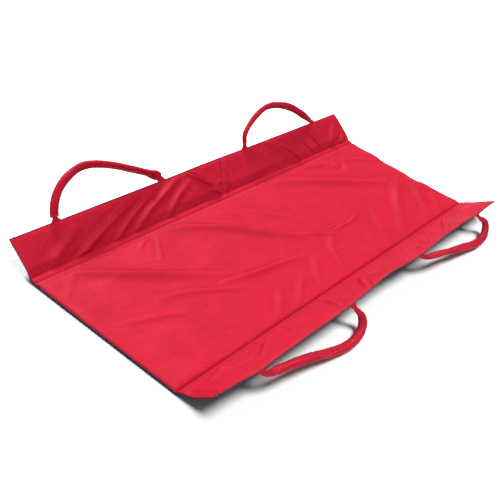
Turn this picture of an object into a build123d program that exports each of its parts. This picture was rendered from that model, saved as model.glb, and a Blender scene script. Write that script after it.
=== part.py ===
from build123d import *
import math
import os

# Folding soft stretcher: a padded carrying sheet with a raised padded wing along each
# long side and four padded loop handles sewn into the wings' outer edges.
# Millimetres. +X runs from the foot end to the head end, +Y to the far side, +Z up.
# The origin is on the underside, on the fold across the middle of the sheet.

# Driving dimensions: the sheet
LENGTH = 1900.0             # foot end to head end
PANEL_WIDTH = 580.0         # between the two long seams
WING_WIDTH = 162.0          # seam to outer edge
EDGE_HEIGHT = 14.0          # height of the panel at its seams and ends
CROWN = 4.0                 # how much the padded middle stands above the edges
CROWN_SLOPE = 40.0          # width of the slope from the crown down to an edge
FABRIC = 2.0                # one layer of nylon with its lining
WING_THICKNESS = 6.0        # whole wing
WING_FABRIC = 1.0           # one layer on a wing

# Driving dimensions: webbing, seams and handles
WEBBING_WIDTH = 40.0
WEBBING_THICKNESS = 1.5
SEAM_BAND_WIDTH = 11.0      # felled seam allowance that carries the two rows of stitching
SEAM_BAND_HEIGHT = 1.2
SEAM_BAND_OFFSET = 5.0      # seam line to the band, so that a wing can fold over it
HANDLE_SPAN = 508.0         # between the two feet of one handle
HANDLE_INSET = 253.0        # middle fold to the nearest foot of a handle
SLEEVE_WIDTH = 34.0         # padded tube, across its flat side
SLEEVE_THICKNESS = 22.0
SLEEVE_WALL = 1.5
HANDLE_WEBBING_WIDTH = 24.0
TAB_WIDTH = 40.0            # sleeve end pressed flat and sewn into the wing's edge
TAB_THICKNESS = 3.0
TAB_START = 5.0             # distance of a tab from the line that its handle swings about
TAB_END = 19.0

# Driving dimensions: the pose the sheet lies in
WING_REST_ANGLE = 32.0          # wings above level
FAR_HANDLE_REST_ANGLE = 59.0    # far handles above level
NEAR_HANDLE_REST_ANGLE = -48.0  # near handles hang to the floor

# Clearances
BODY_GAP = 0.3              # between pieces that turn against each other
LAYER_GAP = 0.3             # between a handle's sleeve and its padding

HALF_WIDTH = PANEL_WIDTH / 2
HINGE_Y = WING_WIDTH - WING_THICKNESS / 2   # a handle's swing line, from the seam
FOOT_POSITIONS = (HANDLE_INSET, HANDLE_INSET + HANDLE_SPAN)

# Centre lines of the four handles: distance along the edge from the foot that is
# nearer the foot end, then distance out from the wing's edge. Each lies as it was dropped.
HANDLE_LINES = {
    ("far", "foot"): [(0, 0), (2, 52), (48, 114), (158, 143), (300, 108), (440, 50), (508, 0)],
    ("far", "head"): [(0, 0), (16, 58), (84, 114), (190, 138), (310, 114), (425, 56), (508, 0)],
    ("near", "foot"): [(0, 0), (82, 30), (232, 72), (392, 108), (508, 106), (542, 48), (508, 0)],
    ("near", "head"): [(0, 0), (96, 28), (246, 76), (400, 108), (506, 104), (546, 52), (508, 0)],
}

SIDES = {"far": 1, "near": -1}
ENDS = {"foot": -1, "head": 1}


def box_between(low, high):
    """Box from one corner to the other, whatever order the coordinates come in."""
    corners = [(min(a, b), max(a, b)) for a, b in zip(low, high)]
    size = [high_value - low_value for low_value, high_value in corners]
    centre = [(high_value + low_value) / 2 for low_value, high_value in corners]
    return Pos(*centre) * Box(*size)


def half_span(end):
    """X of the fold and of the end edge for one half of the sheet."""
    fold = BODY_GAP if end == "head" else 0.0
    return fold, ENDS[end] * LENGTH / 2


def panel_prism(points, end):
    """Solid with an outline in YZ, over one half of the sheet's length."""
    fold, edge = half_span(end)
    outline = Plane.YZ * make_face(Polyline(*points, close=True))
    return Pos(min(fold, edge), 0, 0) * extrude(outline, abs(edge - fold))


def strap_positions(end):
    """X of the two cross straps of one half, under the feet of its handles."""
    return [ENDS[end] * position for position in FOOT_POSITIONS]


def centre_base(end):
    """Coated nylon underside with a wall turned up at the end edge."""
    fold, edge = half_span(end)
    wall = edge - ENDS[end] * FABRIC
    under = box_between((fold, -HALF_WIDTH, 0), (edge, HALF_WIDTH, FABRIC))
    upturn = box_between((wall, -HALF_WIDTH, FABRIC), (edge, HALF_WIDTH, EDGE_HEIGHT - FABRIC))
    return under + upturn


def centre_straps(end):
    """Webbing that runs under the padding from one wing's handles to the other's."""
    return [
        box_between((x - WEBBING_WIDTH / 2, -HALF_WIDTH + 1, FABRIC),
                    (x + WEBBING_WIDTH / 2, HALF_WIDTH - 1, FABRIC + WEBBING_THICKNESS))
        for x in strap_positions(end)
    ]


def centre_padding(end):
    """Closed-cell foam sheet, grooved where the cross straps pass under it."""
    fold, edge = half_span(end)
    inner_edge = edge - ENDS[end] * FABRIC
    foam = box_between((fold, -HALF_WIDTH, FABRIC), (inner_edge, HALF_WIDTH, EDGE_HEIGHT - FABRIC))
    for strap in centre_straps(end):
        foam -= strap
    return foam


def centre_cover(end):
    """Padded nylon top: level at the seams, rising to the crown inside them."""
    low = EDGE_HEIGHT - FABRIC
    top = EDGE_HEIGHT + CROWN
    level = HALF_WIDTH - SEAM_BAND_OFFSET - SEAM_BAND_WIDTH - 1
    across = panel_prism(
        [(-HALF_WIDTH, low), (HALF_WIDTH, low), (HALF_WIDTH, EDGE_HEIGHT), (level, EDGE_HEIGHT),
         (level - CROWN_SLOPE, top), (CROWN_SLOPE - level, top), (-level, EDGE_HEIGHT),
         (-HALF_WIDTH, EDGE_HEIGHT)], end)
    fold, edge = half_span(end)
    slope = edge - ENDS[end] * CROWN_SLOPE
    outline = Polyline((fold, low), (edge, low), (edge, EDGE_HEIGHT), (slope, top), (fold, top),
                       close=True)
    along = extrude(Plane.XZ * make_face(outline), HALF_WIDTH, both=True)
    return across & along


def panel_seam_band(end):
    """Far seam's allowance, felled towards the panel and lying on its edge."""
    fold, edge = half_span(end)
    outer = HALF_WIDTH - SEAM_BAND_OFFSET
    return box_between((fold, outer - SEAM_BAND_WIDTH, EDGE_HEIGHT),
                       (edge, outer, EDGE_HEIGHT + SEAM_BAND_HEIGHT))


def wing_seam_band(end):
    """Near seam's allowance, felled towards the wing and lying on it, before the wing is raised."""
    fold, edge = half_span(end)
    return box_between((fold, SEAM_BAND_OFFSET, 0),
                       (edge, SEAM_BAND_OFFSET + SEAM_BAND_WIDTH, SEAM_BAND_HEIGHT))


def wing_layer(end, low, high):
    """One flat layer of a wing, before it is raised, with the seam at y = 0 and the top at z = 0."""
    fold, edge = half_span(end)
    return box_between((fold, BODY_GAP, low), (edge, HINGE_Y - WING_THICKNESS / 2, high))


def wing_straps(end):
    """Webbing from the seam to the handle feet, between the padding and the backing."""
    low = WING_FABRIC - WING_THICKNESS
    return [
        box_between((x - WEBBING_WIDTH / 2, BODY_GAP, low),
                    (x + WEBBING_WIDTH / 2, HINGE_Y - WING_THICKNESS / 2, low + WEBBING_THICKNESS))
        for x in strap_positions(end)
    ]


def wing_pieces(end):
    """The pieces of one wing half lying flat, by name."""
    fold, edge = half_span(end)
    radius = WING_THICKNESS / 2
    padding = wing_layer(end, WING_FABRIC - WING_THICKNESS, -WING_FABRIC)
    for strap in wing_straps(end):
        padding -= strap
    # The binding is half round, so that a handle's tab can swing about its centre line.
    section = Circle(radius) + Pos(-radius / 2, 0) * Rectangle(radius, WING_THICKNESS)
    binding = extrude(Plane.YZ * section, abs(edge - fold))
    return {
        "cover": [wing_layer(end, -WING_FABRIC, 0)],
        "padding": [padding],
        "backing": [wing_layer(end, -WING_THICKNESS, WING_FABRIC - WING_THICKNESS)],
        "straps": wing_straps(end),
        "edge_binding": [Pos(min(fold, edge), HINGE_Y, -radius) * binding],
    }


def corner_radii(points):
    """Largest even radii that the runs beside each corner of a path allow."""
    radii = []
    for before, corner, after in zip(points, points[1:], points[2:]):
        run_in = Vector(corner) - Vector(before)
        run_out = Vector(after) - Vector(corner)
        turn = math.radians(run_in.get_angle(run_out))
        shorter = min(run_in.length, run_out.length)
        radii.append(0.45 * shorter / math.tan(turn / 2))
    return radii


def handle_pieces(side, end):
    """The pieces of one handle, flat in XY with its swing line along X and its loop towards +Y."""
    points = [(x, y, 0) for x, y in HANDLE_LINES[side, end]]
    radii = corner_radii(points)
    print(f"{side} {end} handle radii:", [round(radius) for radius in radii])
    path = FilletPolyline(*points, radius=radii)
    start = Plane(origin=path @ 0, x_dir=(0, 0, 1), z_dir=path % 0)
    thick = SLEEVE_THICKNESS - 2 * SLEEVE_WALL
    wide = SLEEVE_WIDTH - 2 * SLEEVE_WALL
    bore = RectangleRounded(thick, wide, thick / 2 - 0.5)
    outside = RectangleRounded(SLEEVE_THICKNESS, SLEEVE_WIDTH, SLEEVE_THICKNESS / 2 - 0.5)
    web = Rectangle(WEBBING_THICKNESS, HANDLE_WEBBING_WIDTH)
    web_slot = Rectangle(WEBBING_THICKNESS + LAYER_GAP, HANDLE_WEBBING_WIDTH + LAYER_GAP)
    filling = offset(bore, -LAYER_GAP) - web_slot
    trim = box_between((-HANDLE_SPAN, -HANDLE_SPAN, -HANDLE_SPAN),
                       (2 * HANDLE_SPAN, TAB_END, HANDLE_SPAN))
    swept = {
        "sleeve": outside - bore,
        "padding": filling,
        "webbing": web,
    }
    pieces = {name: [sweep(start * section, path) - trim] for name, section in swept.items()}
    pieces["tabs"] = [
        box_between((foot - TAB_WIDTH / 2, TAB_START, -TAB_THICKNESS / 2),
                    (foot + TAB_WIDTH / 2, TAB_END, TAB_THICKNESS / 2))
        for foot in (0, HANDLE_SPAN)
    ]
    return pieces


def placed(shape, side, origin, angle):
    """Turn a flat shape up by an angle about X, carry it to its origin, and mirror the near side."""
    shape = Pos(*origin) * Rot(angle, 0, 0) * shape
    return shape if side == "far" else mirror(shape, about=Plane.XZ)


def handle_origin(end):
    """Where the first foot of a far handle meets the raised wing's swing line."""
    rest = math.radians(WING_REST_ANGLE)
    depth = WING_THICKNESS / 2
    first_foot = min(ENDS[end] * position for position in FOOT_POSITIONS)
    return (first_foot,
            HALF_WIDTH + HINGE_Y * math.cos(rest) + depth * math.sin(rest),
            EDGE_HEIGHT + HINGE_Y * math.sin(rest) - depth * math.cos(rest))


def build():
    """All pieces in their rest places, as lists of solids by node name."""
    handle_angles = {"far": FAR_HANDLE_REST_ANGLE, "near": NEAR_HANDLE_REST_ANGLE}
    nodes = {}
    for end in ENDS:
        nodes[f"centre_cover_{end}"] = [centre_cover(end)]
        nodes[f"centre_padding_{end}"] = [centre_padding(end)]
        nodes[f"centre_base_{end}"] = [centre_base(end)]
        nodes[f"centre_straps_{end}"] = centre_straps(end)
        hinge = (0, HALF_WIDTH, EDGE_HEIGHT)
        nodes[f"far_seam_band_{end}"] = [panel_seam_band(end)]
        nodes[f"near_seam_band_{end}"] = [
            placed(wing_seam_band(end), "near", hinge, WING_REST_ANGLE)]
        for side in SIDES:
            for name, shapes in wing_pieces(end).items():
                nodes[f"{side}_wing_{name}_{end}"] = [
                    placed(shape, side, hinge, WING_REST_ANGLE) for shape in shapes]
            for name, shapes in handle_pieces(side, end).items():
                nodes[f"{side}_handle_{name}_{end}"] = [
                    placed(shape, side, handle_origin(end), handle_angles[side])
                    for shape in shapes]
    return nodes


os.makedirs("parts", exist_ok=True)
for node, shapes in build().items():
    solids = [solid for shape in shapes for solid in shape.solids()]
    part = solids[0] if len(solids) == 1 else Compound(children=solids)
    export_step(part, f"parts/{node}.step")
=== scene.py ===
import math
import bpy
import numpy as np
from mathutils import Matrix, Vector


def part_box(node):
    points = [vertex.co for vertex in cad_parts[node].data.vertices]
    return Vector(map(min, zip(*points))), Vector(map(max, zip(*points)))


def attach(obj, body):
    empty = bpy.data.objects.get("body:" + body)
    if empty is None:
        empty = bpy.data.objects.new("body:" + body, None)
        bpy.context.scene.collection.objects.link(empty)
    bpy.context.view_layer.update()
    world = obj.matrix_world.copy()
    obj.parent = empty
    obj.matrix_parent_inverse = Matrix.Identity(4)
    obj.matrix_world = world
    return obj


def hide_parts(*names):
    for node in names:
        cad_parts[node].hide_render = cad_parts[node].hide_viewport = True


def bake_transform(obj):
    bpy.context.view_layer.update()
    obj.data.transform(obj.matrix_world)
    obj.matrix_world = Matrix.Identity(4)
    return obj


# Folding soft stretcher: a padded carrying sheet of glossy red nylon over coated navy
# nylon, with a raised padded wing along each long side and four padded loop handles.
# Metres, in the frame's axes: +X to the head end, +Y to the far wing, +Z up.

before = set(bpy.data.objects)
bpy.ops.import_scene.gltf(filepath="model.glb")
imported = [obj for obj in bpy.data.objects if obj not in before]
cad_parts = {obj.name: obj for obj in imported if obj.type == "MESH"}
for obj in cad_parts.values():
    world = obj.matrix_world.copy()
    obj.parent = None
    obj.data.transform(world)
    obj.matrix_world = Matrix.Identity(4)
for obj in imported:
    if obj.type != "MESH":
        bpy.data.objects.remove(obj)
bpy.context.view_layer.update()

# ---------------------------------------------------------------------------
# Sizes that the frame gives
# ---------------------------------------------------------------------------

MM = 0.001
cover_low, cover_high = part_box("centre_cover_foot")
HALF_LENGTH = -cover_low.x
HALF_WIDTH = cover_high.y
CROWN_TOP = cover_high.z
FABRIC = 2.0 * MM
EDGE_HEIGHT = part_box("centre_base_foot")[1].z + FABRIC

# ---------------------------------------------------------------------------
# Sizes that the frame doesn't give
# ---------------------------------------------------------------------------

WING_ANGLE = math.radians(32.0)     # wings above level
WING_WIDTH = 162.0 * MM             # seam to outer edge
WING_THICKNESS = 6.0 * MM
SWING_LINE = WING_WIDTH - WING_THICKNESS / 2    # where a handle swings, from the seam
HANDLE_ANGLES = {"far": math.radians(59.0), "near": math.radians(-48.0)}
HANDLE_SPAN = 508.0 * MM
HANDLE_INSET = 253.0 * MM
HANDLE_POINTS = 360                 # along a loop's centre line
TAB_WIDTH = 40.0 * MM
BAND_OFFSET = 5.0 * MM              # seam line to the felled band
BAND_WIDTH = 11.0 * MM
BAND_PHASES = {"far": 1.3, "near": 5.0}     # of the gathers along each seam band
STITCH_PITCH = 3.6 * MM
STITCH_LENGTH = 2.9 * MM
THREAD_RADIUS = 0.4 * MM
HEM_INSET = 11.0 * MM               # outer edge to its row of stitches
ROLL_WIDTHS = {"far": 22.0 * MM, "near": 15.0 * MM}     # seam allowance under a wing's cover
PANEL_FOLD_STRENGTH = 1.6           # factors on the heights of the folds
WING_FOLD_STRENGTHS = {"far": 2.2, "near": 1.7}
WING_CREASING = {"far": 0.6, "near": 1.0}
SLEEVE_MOUTHS = {"far": 17.0 * MM, "near": 21.0 * MM}   # from a loop's foot to its sleeve
TAB_RISE = 20.0 * MM                # how far out a tab follows the lift of the edge

SIDES = {"far": 1, "near": -1}
ENDS = {"foot": -1, "head": 1}

# Centre lines of the loops as they were dropped: millimetres along the edge from the foot
# that is nearer the foot end, then out from the wing's edge.
HANDLE_LINES = {
    ("far", "foot"): [(0, 0), (0, 16), (2, 34), (18, 68), (47, 102), (87, 127), (143, 144),
                      (188, 143), (246, 130), (311, 107), (369, 82), (428, 56), (478, 33),
                      (506, 15), (508, 0)],
    ("far", "head"): [(0, 0), (4, 14), (10, 27), (16, 55), (48, 80), (96, 105), (148, 126),
                      (208, 137), (279, 128), (350, 108), (407, 78), (455, 46), (496, 16),
                      (508, 0)],
    ("near", "foot"): [(0, 0), (2, 13), (22, 24), (109, 38), (202, 56), (298, 83), (385, 103),
                       (456, 107), (509, 92), (534, 66), (530, 42), (511, 20), (508, 0)],
    ("near", "head"): [(0, 0), (3, 13), (36, 24), (139, 43), (234, 65), (318, 79), (402, 98),
                       (490, 100), (531, 80), (557, 58), (550, 38), (516, 19), (508, 0)],
}
# How far the sleeve's flat section is turned out of the loop's plane, in radians at even
# steps along it.
HANDLE_TWISTS = {
    ("far", "foot"): (0.0, 0.3, 1.0, 1.3, 1.2),
    ("far", "head"): (0.9, 0.6, 0.9, 0.5, 0.2),
    ("near", "foot"): (0.7, 0.7, 0.4, 0.8, 0.5),
    ("near", "head"): (0.9, 1.2, 0.6, 0.1, 0.6),
}

# How much narrower each sleeve gets at its mouths, in millimetres each way, and the share of
# its thickness that is left there. The far foot sleeve is spread instead.
HANDLE_PINCHES = {
    ("far", "foot"): (-2.5, 0.5),
    ("far", "head"): (3.5, 0.45),
    ("near", "foot"): (5.5, 0.34),
    ("near", "head"): (5.5, 0.34),
}

# Folds in the cloth. Each has a route in millimetres, from the foot end towards the head
# end, then the height of its crest and the widths of its left and right flanks. On the
# panel a route gives x and y, on a wing it gives x and the distance from the seam.
PANEL_FOLDS = [
    ([(-890, 292), (-800, 252), (-700, 178), (-600, 108), (-500, 43), (-368, -40)], 8.5, 8, 24),
    ([(-390, 292), (-300, 240), (-200, 182), (-110, 96), (0, -2), (75, -46)], 7.8, 8, 24),
    ([(70, -34), (130, -72), (185, -104)], 3.9, 6, 13),
    ([(230, 296), (350, 236), (500, 142), (650, 54), (790, -16)], 7.8, 15, 29),
    ([(-700, 24), (-590, -8), (-500, -60), (-380, -122)], 4.2, 7, 16),
    ([(-455, -42), (-300, -80), (-180, -92), (-50, -118)], 5.7, 6, 16),
    ([(-900, 10), (-800, -24), (-700, -60), (-650, -88)], 3.1, 10, 13),
    ([(180, -86), (250, -86), (320, -94), (405, -70)], 4.2, 5, 10),
    ([(175, -68), (225, -64), (290, -80)], 2.1, 4, 5),
    ([(16, -262), (60, -190), (105, -130), (185, -98)], 2.6, 14, 12),
    ([(330, -272), (400, -212), (460, -140), (535, -60)], 2.0, 18, 15),
    ([(445, -276), (600, -166), (700, -96), (800, -42), (875, -18)], 4.6, 19, 20),
    ([(690, -266), (770, -190), (860, -106), (935, -52)], 3.4, 17, 17),
    ([(790, -274), (870, -200), (945, -140)], 2.4, 15, 14),
    ([(450, 284), (530, 257), (575, 240), (660, 233)], 3.1, 4, 7),
    ([(735, 224), (820, 178), (900, 134)], 2.4, 13, 15),
    ([(580, 200), (650, 168), (700, 186), (740, 232)], -2.9, 14, 11),
    ([(-200, 262), (-150, 216), (-112, 186)], 2.3, 7, 9),
    ([(-118, 250), (-84, 208), (-60, 176)], 2, 7, 8),
    ([(-6, 190), (56, 116), (116, 58)], 2.6, 12, 12),
    ([(-530, 150), (-480, 208), (-436, 258)], 1.7, 7, 6),
    ([(-560, 232), (-500, 262), (-450, 280)], 1.8, 6, 6),
    ([(-690, -82), (-672, -150), (-658, -226)], -1.6, 7, 5),
    ([(-646, -196), (-634, -236), (-618, -282)], 1.7, 5, 5),
    ([(-606, -84), (-598, -180), (-588, -276)], 1.3, 6, 5),
    ([(-420, -274), (-340, -216), (-280, -174)], 1.7, 12, 11),
    ([(-320, -276), (-210, -216), (-140, -176)], 1.7, 12, 11),
    ([(-140, -262), (-95, -196), (-30, -156)], 2.0, 13, 11),
    ([(-36, -152), (-32, -124), (-34, -92)], 1.7, 5, 5),
    ([(-12, -240), (2, -206), (14, -176)], 1.0, 7, 7),
    ([(36, -236), (40, -196), (46, -150)], 0.9, 7, 7),
    ([(-930, 180), (-880, 214), (-820, 262)], 1.1, 12, 11),
]
WING_FOLDS = {
    "far": [
        ([(-790, 2), (-690, 46), (-590, 84), (-380, 150)], 6, 10, 13),
        ([(-610, 4), (-520, 62), (-440, 92), (-320, 132)], 4.4, 8, 11),
        ([(-500, 14), (-420, 66), (-300, 104), (-160, 152)], 4.9, 10, 12),
        ([(-330, 14), (-260, 66), (-190, 96), (-110, 128)], 3.4, 10, 12),
        ([(-860, 30), (-780, 92), (-680, 120)], 4.2, 15, 17),
        ([(-128, 158), (-64, 92), (-2, 30)], 4.2, 4, 7),
        ([(-60, 60), (-24, 44), (-6, 26)], 2.9, 6, 6),
        ([(24, 22), (52, 84), (100, 158)], 3.1, 6, 11),
        ([(58, 150), (34, 112), (22, 84)], 2, 4, 5),
        ([(100, 160), (88, 128), (66, 96)], 2.1, 4, 5),
        ([(-6, 62), (14, 50), (40, 58)], -3.4, 8, 7),
        ([(330, 150), (400, 96), (450, 30)], -4.4, 22, 13),
        ([(470, 120), (520, 66), (556, 22)], 3.4, 10, 8),
        ([(590, 110), (630, 60), (650, 16)], -3.4, 8, 8),
        ([(676, 156), (706, 96), (724, 30)], 3.1, 7, 6),
        ([(786, 20), (840, 70), (900, 118)], 3.1, 12, 12),
        ([(856, 6), (886, 36), (926, 60)], 2.6, 7, 7),
    ],
    "near": [
        ([(520, 128), (570, 104), (640, 66), (716, 28)], 4.4, 6, 11),
        ([(380, 54), (470, 36), (560, 38), (690, 34)], 2.3, 5, 6),
        ([(6, 60), (52, 84), (96, 118), (150, 152)], 4.7, 8, 8),
        ([(-130, 146), (-92, 112), (-50, 70), (-8, 52)], 3.9, 8, 9),
        ([(-280, 132), (-262, 90), (-236, 34)], 2.9, 8, 8),
        ([(-310, 146), (-230, 128), (-140, 134)], 2.9, 6, 6),
        ([(-500, 96), (-478, 62), (-470, 24)], 2.3, 7, 6),
        ([(-650, 24), (-612, 70), (-588, 110)], 2.9, 8, 7),
        ([(-700, 110), (-640, 74), (-560, 40)], 2.5, 7, 7),
        ([(-800, 22), (-760, 66), (-700, 84)], 2.3, 8, 8),
        ([(-880, 60), (-820, 40), (-760, 26)], 2.1, 8, 7),
        ([(196, 22), (216, 70), (206, 120)], 1.8, 8, 6),
        ([(250, 150), (330, 110), (420, 94)], 2.6, 7, 8),
        ([(300, 60), (320, 90), (318, 130)], 1.6, 8, 6),
        ([(780, 30), (830, 70), (900, 120)], 2.3, 14, 12),
    ],
}
# How far each wing's outer edge stands above or below its plane, in millimetres along x.
EDGE_LINES = {
    "far": [(-950, 3), (-850, 1), (-700, 0), (-420, 0), (-170, 0), (-80, 6), (20, 8), (120, 5),
            (220, 1), (400, 1), (700, 0), (950, 3)],
    "near": [(-950, 17), (-905, 12), (-850, 9), (-800, 1), (-740, 0), (-560, 2), (-300, -1),
             (-200, 2), (-100, 10), (10, 15), (100, 9), (170, 2), (230, 0), (300, 0), (400, 6),
             (600, 8), (700, 4), (760, 0), (800, 1), (880, 5), (950, 2)],
}

# ---------------------------------------------------------------------------
# Curves, waves and folds, as functions on whole arrays
# ---------------------------------------------------------------------------


def ease(t):
    """Smooth step: 0 below 0, 1 above 1, and 3t^2 - 2t^3 between."""
    t = np.clip(t, 0.0, 1.0)
    return t * t * (3.0 - 2.0 * t)


def soft_route(points, pieces=6):
    """Quadratic B-spline through the middles of a route's runs, from its first point to its
    last."""
    p = np.array(points, float)
    starts = np.vstack([p[:1], (p[1:-2] + p[2:-1]) / 2])
    ends = np.vstack([(p[1:-2] + p[2:-1]) / 2, p[-1:]])
    t = np.linspace(0.0, 1.0, pieces, endpoint=False)[None, :, None]
    curve = (1 - t) ** 2 * starts[:, None] + 2 * t * (1 - t) * p[1:-1, None] + t * t * ends[:, None]
    return np.vstack([curve.reshape(-1, p.shape[1]), p[-1:]])


def even_route(points, count, pieces=24):
    """The same spline, read at even distances along it. Returns its points and their distances."""
    curve = soft_route(points, pieces)
    along = np.r_[0.0, np.cumsum(np.linalg.norm(np.diff(curve, axis=0), axis=1))]
    wanted = np.linspace(0.0, along[-1], count)
    return np.stack([np.interp(wanted, along, c) for c in curve.T], axis=1), wanted


def fold_height(x, y, fold):
    """Height of one fold: a crest along its route, falling as a bell curve, narrow on the left
    flank and wide on the right, with a shallow trough outside the narrow flank. The crest
    rises and falls along the route as the root of a half sine."""
    route, height, left, right = fold
    line = soft_route(route) * MM
    height, left, right = height * MM, left * MM, right * MM
    best = np.full(x.shape, np.inf)
    signed = np.zeros(x.shape)
    along = np.zeros(x.shape)
    for number, (a, b) in enumerate(zip(line, line[1:])):
        run = b - a
        t = np.clip(((x - a[0]) * run[0] + (y - a[1]) * run[1]) / (run @ run), 0.0, 1.0)
        dx, dy = x - a[0] - t * run[0], y - a[1] - t * run[1]
        distance = np.hypot(dx, dy)
        nearer = distance < best
        best = np.where(nearer, distance, best)
        on_left = run[0] * dy - run[1] * dx > 0
        signed = np.where(nearer, np.where(on_left, distance, -distance), signed)
        along = np.where(nearer, (number + t) / (len(line) - 1), along)
    crest = np.where(signed > 0, np.exp(-(signed / left) ** 2), np.exp(-(signed / right) ** 2))
    trough = 0.3 * np.exp(-((signed - 2.1 * left) / left) ** 2)
    return height * (crest - trough) * np.sin(math.pi * along) ** 0.6


def all_folds(x, y, folds):
    """Sum of the folds, each worked out only near its route."""
    total = np.zeros(x.shape)
    for fold in folds:
        route = np.array(fold[0]) * MM
        margin = 3.2 * max(fold[2], fold[3]) * MM
        near = ((x > route[:, 0].min() - margin) & (x < route[:, 0].max() + margin)
                & (y > route[:, 1].min() - margin) & (y < route[:, 1].max() + margin))
        total[near] += fold_height(x[near], y[near], fold)
    return total


def ripple(x, y, wavelength, seed, count=9):
    """Uneven cloth surface: plane waves in random directions, added up so that most of it lies
    from -1 to 1."""
    chance = np.random.default_rng(seed)
    total = np.zeros(np.broadcast(x, y).shape)
    for angle, phase, stretch in zip(chance.uniform(0, math.pi, count),
                                     chance.uniform(0, 2 * math.pi, count),
                                     chance.uniform(0.7, 1.5, count)):
        k = 2 * math.pi / (wavelength * stretch)
        total += np.sin(k * (x * math.cos(angle) + y * math.sin(angle)) + phase)
    return total / math.sqrt(count)


def crumple(x, y, wavelength, seed):
    """Creased cloth: sharp low ridges where two slow waves cross zero, from 0 to 1."""
    first = 1.0 - np.minimum(np.abs(ripple(x, y, wavelength, seed, 5)) * 1.4, 1.0)
    second = 1.0 - np.minimum(np.abs(ripple(x, y, wavelength * 0.8, seed + 50, 5)) * 1.6, 1.0)
    return 0.6 * first ** 1.5 + 0.4 * second ** 1.5


def streaks(x, y, angle, wavelength, seed):
    """Fine drag lines in one direction: creases five times as long as they are far apart, in
    patches, from 0 to 1."""
    along = x * math.cos(angle) + y * math.sin(angle)
    across = y * math.cos(angle) - x * math.sin(angle)
    patches = ease(0.5 + ripple(x, y, 0.5, seed + 7, 5))
    return patches * (1.0 - np.minimum(np.abs(ripple(along / 5, across, wavelength, seed, 6)) * 1.5,
                                       1.0)) ** 1.5


def puckers(x, seed):
    """Gathers along a sewn seam: three waves, 13 to 28 mm long, that drift in and out of step,
    in clusters some 140 mm apart."""
    waves = sum(np.sin(2 * math.pi * (x / pitch + seed * number))
                for number, pitch in enumerate((0.0132, 0.0190, 0.0276), 1)) / 2.0
    cluster = 0.5 + 0.5 * np.sin(2 * math.pi * (x / 0.137 + 0.3 * seed)
                                 + 1.5 * np.sin(2 * math.pi * x / 0.41 + seed))
    return waves * (0.15 + 0.85 * cluster)


def bell(distance, width):
    """Bell curve, the exponential of -(distance / width)^2."""
    return np.exp(-(distance / width) ** 2)


# ---------------------------------------------------------------------------
# Meshes
# ---------------------------------------------------------------------------


def make_mesh(name, points, face_sets, uv, material, flip=False, sharp=50.0):
    """Mesh object from points (n, 3), arrays of faces with equal corner counts, and a UV for
    each point in metres. Edges that turn by more than `sharp` degrees stay crisp."""
    if flip:
        face_sets = [faces[:, ::-1] for faces in face_sets]
    corners = np.concatenate([faces.ravel() for faces in face_sets]).astype(np.int32)
    sizes = np.concatenate([np.full(len(faces), faces.shape[1]) for faces in face_sets])
    mesh = bpy.data.meshes.new(name)
    mesh.vertices.add(len(points))
    mesh.vertices.foreach_set("co", np.asarray(points, np.float32).ravel())
    mesh.loops.add(len(corners))
    mesh.loops.foreach_set("vertex_index", corners)
    mesh.polygons.add(len(sizes))
    mesh.polygons.foreach_set("loop_start", np.r_[0, np.cumsum(sizes)[:-1]].astype(np.int32))
    mesh.update(calc_edges=True)
    layer = mesh.uv_layers.new(name="UVMap")
    layer.data.foreach_set("uv", np.asarray(uv, np.float32)[corners].ravel())
    mesh.polygons.foreach_set("use_smooth", np.ones(len(sizes), bool))
    mesh.set_sharp_from_angle(angle=math.radians(sharp))
    mesh.materials.append(material)
    piece = bpy.data.objects.new(name, mesh)
    bpy.context.scene.collection.objects.link(piece)
    return piece


def slab(name, top, bottom, top_uv, bottom_uv, step, material, flip=False):
    """Closed slab between a fine upper grid and a lower grid that is `step` times coarser.
    Its four sides are strips of faces that take `step` upper edges to one lower edge."""
    nu, nv = top.shape[:2]
    mu, mv = bottom.shape[:2]
    upper = np.arange(nu * nv).reshape(nu, nv)
    lower = nu * nv + np.arange(mu * mv).reshape(mu, mv)
    quads = [np.stack([upper[:-1, :-1], upper[1:, :-1], upper[1:, 1:], upper[:-1, 1:]], -1),
             np.stack([lower[:-1, :-1], lower[:-1, 1:], lower[1:, 1:], lower[1:, :-1]], -1)]
    strips = []
    for rim, base, turn in ((upper[:, 0], lower[:, 0], False), (upper[:, -1], lower[:, -1], True),
                            (upper[0], lower[0], True), (upper[-1], lower[-1], False)):
        back = [rim[(np.arange(len(base) - 1) + 1) * step - k] for k in range(step + 1)]
        strip = np.stack([base[:-1], base[1:], *back], -1)
        strips.append(strip[:, ::-1] if turn else strip)
    points = np.vstack([top.reshape(-1, 3), bottom.reshape(-1, 3)])
    uv = np.vstack([top_uv.reshape(-1, 2), bottom_uv.reshape(-1, 2)])
    faces = [q.reshape(-1, 4) for q in quads] + strips
    return make_mesh(name, points, faces, uv, material, flip)


def tubes(name, rings, uv, material, sharp=50.0, flip=False):
    """Closed tubes in one mesh, with a flat cap at each end, through rings (n, m, 3) for one
    tube or (k, n, m, 3) for k of them."""
    grid = np.arange(rings.size // 3).reshape(-1, *rings.shape[-3:-1])
    around = np.roll(grid, -1, axis=2)
    walls = np.stack([grid[:, :-1], around[:, :-1], around[:, 1:], grid[:, 1:]], -1)
    caps = np.concatenate([grid[:, 0][:, ::-1], grid[:, -1]])
    return make_mesh(name, rings.reshape(-1, 3), [walls.reshape(-1, 4), caps], uv.reshape(-1, 2),
                     material, flip, sharp)


def tube_uv(shape, along, across):
    """UVs (k, n, m, 2) of joined tubes from the distances along them and round them."""
    return np.stack([np.broadcast_to(along[None, :, None], shape),
                     np.broadcast_to(across[None, None, :], shape)], -1)


# ---------------------------------------------------------------------------
# Materials
# ---------------------------------------------------------------------------


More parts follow.
